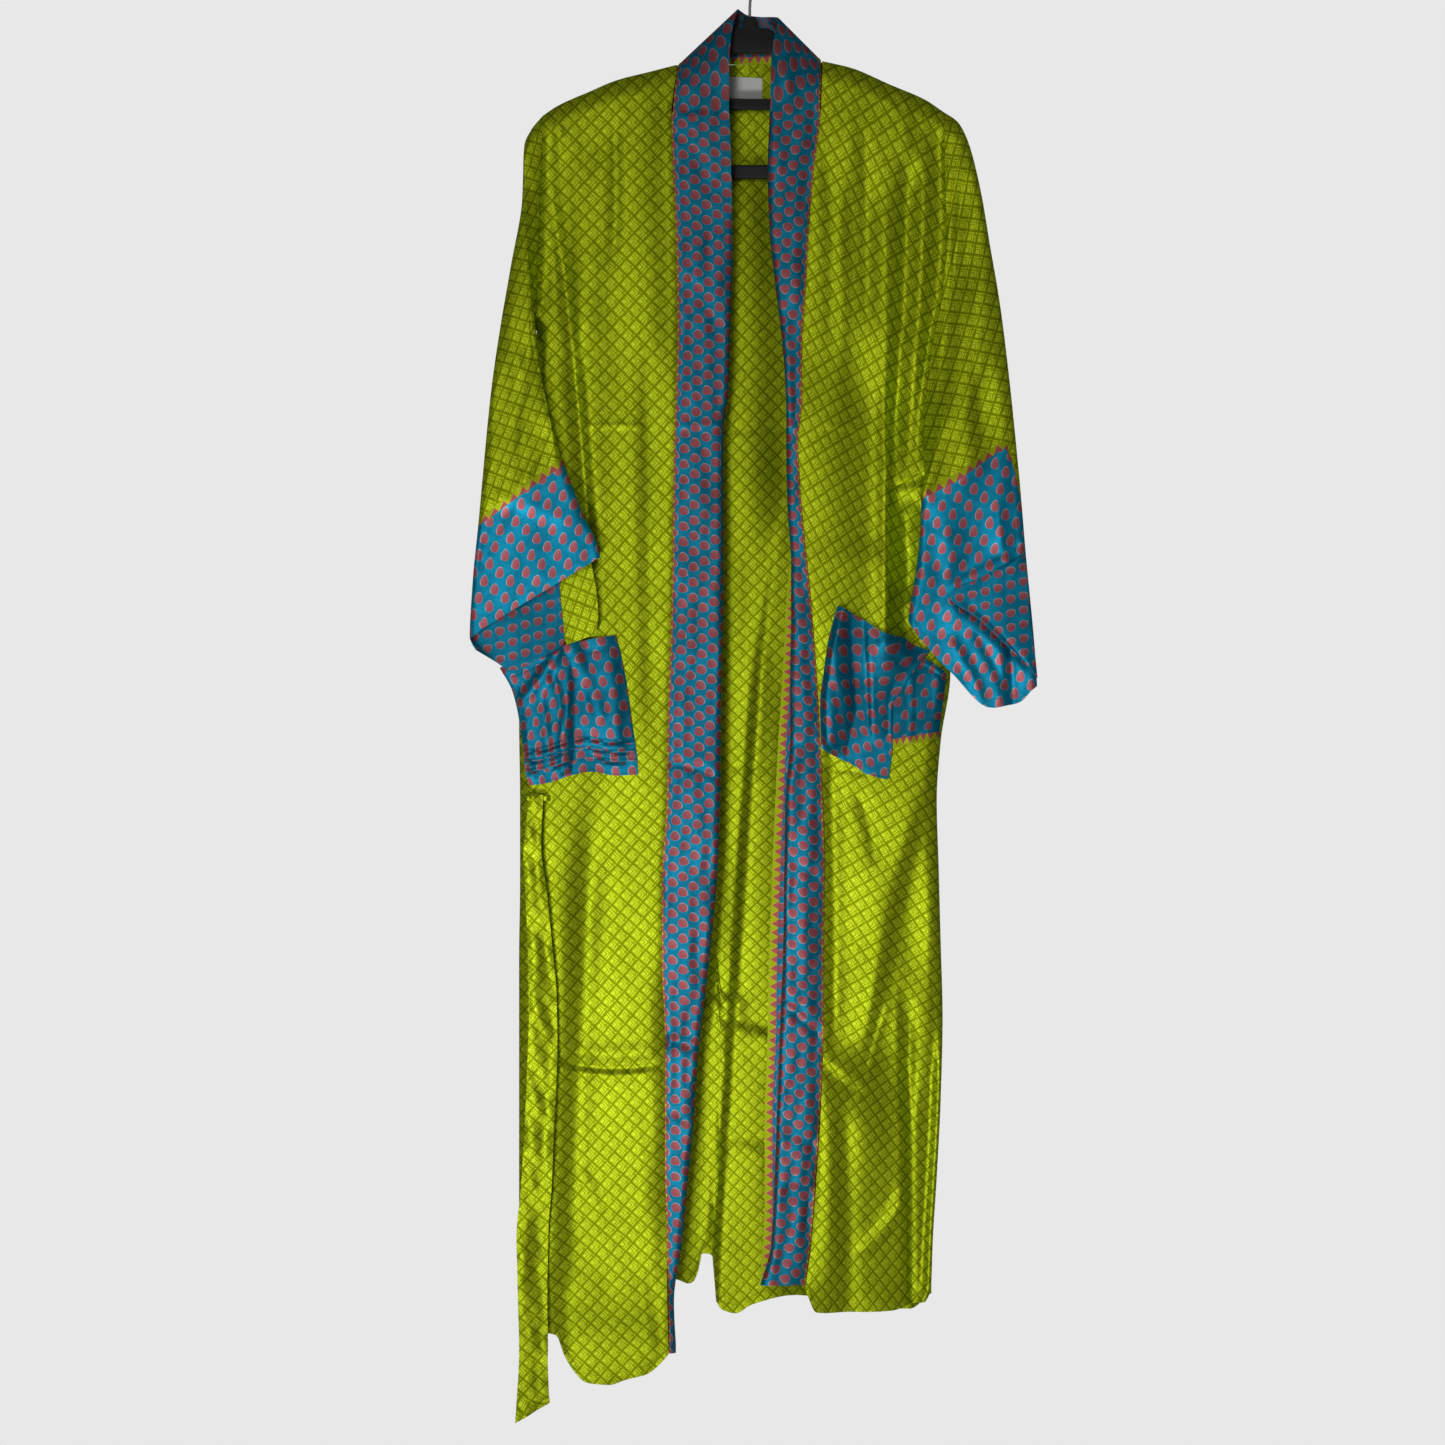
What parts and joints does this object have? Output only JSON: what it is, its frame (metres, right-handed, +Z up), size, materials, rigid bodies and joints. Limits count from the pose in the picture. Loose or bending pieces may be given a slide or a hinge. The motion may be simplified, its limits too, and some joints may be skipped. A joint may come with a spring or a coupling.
{
  "type": "long kimono robe with belt, hung on a coat hanger",
  "caption": "Open-front printed silk robe with wide sleeves, contrast band, cuffs and patch pockets, tie belt, hung flat on a black hanger by its hook.",
  "frame": {"origin": "inner top of the hook, where it rests on a rod", "axes": "+X to the viewer's right across the shoulders, +Z up along the hung length, front of the robe faces -Y"},
  "size_m": [0.5742, 0.0731, 1.5019],
  "materials": {
    "silk_green": "printed silk with a soft sheen, fine dark lattice on lime",
    "silk_blue": "printed silk with a soft sheen, small rose sprigs on teal blue",
    "hanger_black": "matt black",
    "hook_steel": "bright plated wire",
    "label_white": "plain woven tape, blank"
  },
  "bodies": {
    "root": {"hanger": "hanger_black", "hook": "hook_steel", "back": "silk_green", "front_l": "silk_green", "front_r": "silk_green", "collar_band": "silk_blue", "band_facing_r": "silk_blue", "sleeve_l": "silk_green", "sleeve_r": "silk_green", "cuff_l": "silk_blue", "cuff_r": "silk_blue", "cuff_fold_r": "silk_blue", "sleeve_fold_l": "silk_green", "pocket_l": "silk_blue", "pocket_r": "silk_blue", "pocket_fold_r": "silk_blue", "belt": "silk_green", "belt_loop": "silk_green", "neck_label": "label_white"}
  },
  "joints": []
}
